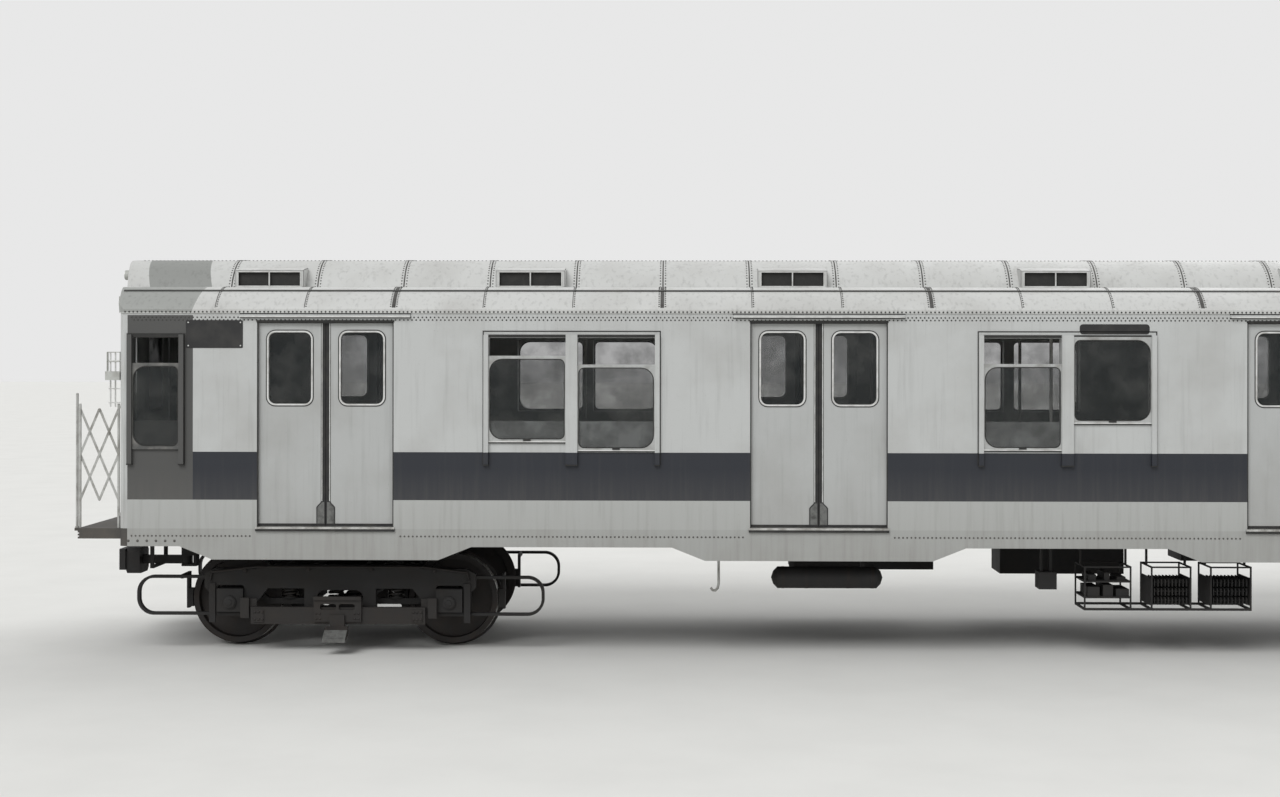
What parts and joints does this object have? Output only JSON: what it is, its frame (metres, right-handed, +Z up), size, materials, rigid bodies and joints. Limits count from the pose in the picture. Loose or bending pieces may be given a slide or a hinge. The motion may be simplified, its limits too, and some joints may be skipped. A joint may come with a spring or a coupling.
{
  "type": "metro car",
  "caption": "Riveted steel metro car with double sliding side doors, drop windows, a raised ventilator roof and two swivelling trucks with turning wheels.",
  "frame": {"origin": "on the ground under the middle of the car, at the flange tips", "axes": "X along the car with its front at -X, +Y to the right side seen from inside facing -X, +Z up"},
  "size_m": [18.432, 3.048, 3.7478],
  "materials": {
    "body_paint": "weathered silver-grey enamel with a dark band",
    "door_paint": "weathered silver-grey enamel",
    "roof_paint": "weathered pale grey roof enamel",
    "skirt_paint": "dusty grey enamel",
    "sash_metal": "dull anodised",
    "glass": "clear laminated",
    "worn_steel": "worn tread plate",
    "underframe_paint": "matt black, brake dust",
    "black_paint": "matt black",
    "fitting_paint": "grey enamel",
    "cast_steel": "cast, brake dust",
    "spring_steel": "oiled",
    "wheel_steel": "dark plate with a bright tread",
    "oiled_timber": "oiled hardwood",
    "seat_cover": "dull moulded cover",
    "pole_enamel": "satin",
    "interior_paint": "satin enamel"
  },
  "bodies": {
    "carbody": {"side_panels_left": "body_paint", "side_panels_right": "body_paint", "letterboard_left": "body_paint", "letterboard_right": "body_paint", "end_wall_front": "body_paint", "end_wall_rear": "body_paint", "roof": "roof_paint", "roof_vents": "roof_paint", "sashes_left": "sash_metal", "sashes_right": "sash_metal", "window_glass": "glass", "door_sills": "worn_steel", "underframe": "underframe_paint", "side_sills": "skirt_paint", "end_platforms": "skirt_paint", "end_gates": "black_paint", "end_fittings": "fitting_paint", "seats": "seat_cover", "grab_poles": "pole_enamel", "cab_partitions": "interior_paint", "underfloor_equipment": "underframe_paint"},
    "door_left_1_fore": {"door_left_1_fore": "door_paint"},
    "door_left_1_aft": {"door_left_1_aft": "door_paint"},
    "door_left_2_fore": {"door_left_2_fore": "door_paint"},
    "door_left_2_aft": {"door_left_2_aft": "door_paint"},
    "door_left_3_fore": {"door_left_3_fore": "door_paint"},
    "door_left_3_aft": {"door_left_3_aft": "door_paint"},
    "door_left_4_fore": {"door_left_4_fore": "door_paint"},
    "door_left_4_aft": {"door_left_4_aft": "door_paint"},
    "door_right_1_fore": {"door_right_1_fore": "door_paint"},
    "door_right_1_aft": {"door_right_1_aft": "door_paint"},
    "door_right_2_fore": {"door_right_2_fore": "door_paint"},
    "door_right_2_aft": {"door_right_2_aft": "door_paint"},
    "door_right_3_fore": {"door_right_3_fore": "door_paint"},
    "door_right_3_aft": {"door_right_3_aft": "door_paint"},
    "door_right_4_fore": {"door_right_4_fore": "door_paint"},
    "door_right_4_aft": {"door_right_4_aft": "door_paint"},
    "end_door_front": {"end_door_front": "door_paint"},
    "coupler_front": {"coupler_front": "cast_steel"},
    "truck_front": {"truck_frame_front": "cast_steel", "axle_boxes_front": "cast_steel", "springs_front": "spring_steel", "bolster_front": "cast_steel", "motors_front": "black_paint", "shoe_beams_front": "oiled_timber"},
    "wheelset_front_outer": {"wheelset_front_outer": "wheel_steel"},
    "wheelset_front_inner": {"wheelset_front_inner": "wheel_steel"},
    "end_door_rear": {"end_door_rear": "door_paint"},
    "coupler_rear": {"coupler_rear": "cast_steel"},
    "truck_rear": {"truck_frame_rear": "cast_steel", "axle_boxes_rear": "cast_steel", "springs_rear": "spring_steel", "bolster_rear": "cast_steel", "motors_rear": "black_paint", "shoe_beams_rear": "oiled_timber"},
    "wheelset_rear_outer": {"wheelset_rear_outer": "wheel_steel"},
    "wheelset_rear_inner": {"wheelset_rear_inner": "wheel_steel"}
  },
  "joints": [
    {"name": "slide_left_1_fore", "type": "slide", "parent": "carbody", "child": "door_left_1_fore", "axis": [-1, 0, 0], "range_m": [0, 0.605]},
    {"name": "slide_left_1_aft", "type": "slide", "parent": "carbody", "child": "door_left_1_aft", "axis": [1, 0, 0], "range_m": [0, 0.605]},
    {"name": "slide_left_2_fore", "type": "slide", "parent": "carbody", "child": "door_left_2_fore", "axis": [-1, 0, 0], "range_m": [0, 0.605]},
    {"name": "slide_left_2_aft", "type": "slide", "parent": "carbody", "child": "door_left_2_aft", "axis": [1, 0, 0], "range_m": [0, 0.605]},
    {"name": "slide_left_3_fore", "type": "slide", "parent": "carbody", "child": "door_left_3_fore", "axis": [-1, 0, 0], "range_m": [0, 0.605]},
    {"name": "slide_left_3_aft", "type": "slide", "parent": "carbody", "child": "door_left_3_aft", "axis": [1, 0, 0], "range_m": [0, 0.605]},
    {"name": "slide_left_4_fore", "type": "slide", "parent": "carbody", "child": "door_left_4_fore", "axis": [-1, 0, 0], "range_m": [0, 0.605]},
    {"name": "slide_left_4_aft", "type": "slide", "parent": "carbody", "child": "door_left_4_aft", "axis": [1, 0, 0], "range_m": [0, 0.605]},
    {"name": "slide_right_1_fore", "type": "slide", "parent": "carbody", "child": "door_right_1_fore", "axis": [-1, 0, 0], "range_m": [0, 0.605]},
    {"name": "slide_right_1_aft", "type": "slide", "parent": "carbody", "child": "door_right_1_aft", "axis": [1, 0, 0], "range_m": [0, 0.605]},
    {"name": "slide_right_2_fore", "type": "slide", "parent": "carbody", "child": "door_right_2_fore", "axis": [-1, 0, 0], "range_m": [0, 0.605]},
    {"name": "slide_right_2_aft", "type": "slide", "parent": "carbody", "child": "door_right_2_aft", "axis": [1, 0, 0], "range_m": [0, 0.605]},
    {"name": "slide_right_3_fore", "type": "slide", "parent": "carbody", "child": "door_right_3_fore", "axis": [-1, 0, 0], "range_m": [0, 0.605]},
    {"name": "slide_right_3_aft", "type": "slide", "parent": "carbody", "child": "door_right_3_aft", "axis": [1, 0, 0], "range_m": [0, 0.605]},
    {"name": "slide_right_4_fore", "type": "slide", "parent": "carbody", "child": "door_right_4_fore", "axis": [-1, 0, 0], "range_m": [0, 0.605]},
    {"name": "slide_right_4_aft", "type": "slide", "parent": "carbody", "child": "door_right_4_aft", "axis": [1, 0, 0], "range_m": [0, 0.605]},
    {"name": "swing_end_door_front", "type": "hinge", "parent": "carbody", "child": "end_door_front", "pos_m": [-8.856, -0.43, 1.9], "axis": [0, 0, -1], "range_deg": [0, 90]},
    {"name": "swivel_truck_front", "type": "hinge", "parent": "carbody", "child": "truck_front", "pos_m": [-6.795, 0, 0.828], "axis": [0, 0, 1], "range_deg": [-7, 7]},
    {"name": "swing_coupler_front", "type": "hinge", "parent": "carbody", "child": "coupler_front", "pos_m": [-8.56, 0, 0.733], "axis": [0, 0, 1], "range_deg": [-15, 15]},
    {"name": "roll_front_outer", "type": "hinge", "parent": "truck_front", "child": "wheelset_front_outer", "pos_m": [-7.8365, 0, 0.46], "axis": [0, 1, 0], "continuous": true},
    {"name": "roll_front_inner", "type": "hinge", "parent": "truck_front", "child": "wheelset_front_inner", "pos_m": [-5.7535, 0, 0.46], "axis": [0, 1, 0], "continuous": true},
    {"name": "swing_end_door_rear", "type": "hinge", "parent": "carbody", "child": "end_door_rear", "pos_m": [8.856, 0.43, 1.9], "axis": [0, 0, -1], "range_deg": [0, 90]},
    {"name": "swivel_truck_rear", "type": "hinge", "parent": "carbody", "child": "truck_rear", "pos_m": [6.795, 0, 0.828], "axis": [0, 0, 1], "range_deg": [-7, 7]},
    {"name": "swing_coupler_rear", "type": "hinge", "parent": "carbody", "child": "coupler_rear", "pos_m": [8.56, 0, 0.733], "axis": [0, 0, 1], "range_deg": [-15, 15]},
    {"name": "roll_rear_outer", "type": "hinge", "parent": "truck_rear", "child": "wheelset_rear_outer", "pos_m": [7.8365, 0, 0.46], "axis": [0, 1, 0], "continuous": true},
    {"name": "roll_rear_inner", "type": "hinge", "parent": "truck_rear", "child": "wheelset_rear_inner", "pos_m": [5.7535, 0, 0.46], "axis": [0, 1, 0], "continuous": true}
  ],
  "couplings": [
    {"joint": "slide_left_1_aft", "follows": "slide_left_1_fore", "ratio": 1},
    {"joint": "slide_left_2_aft", "follows": "slide_left_2_fore", "ratio": 1},
    {"joint": "slide_left_3_aft", "follows": "slide_left_3_fore", "ratio": 1},
    {"joint": "slide_left_4_aft", "follows": "slide_left_4_fore", "ratio": 1},
    {"joint": "slide_right_1_aft", "follows": "slide_right_1_fore", "ratio": 1},
    {"joint": "slide_right_2_aft", "follows": "slide_right_2_fore", "ratio": 1},
    {"joint": "slide_right_3_aft", "follows": "slide_right_3_fore", "ratio": 1},
    {"joint": "slide_right_4_aft", "follows": "slide_right_4_fore", "ratio": 1}
  ]
}
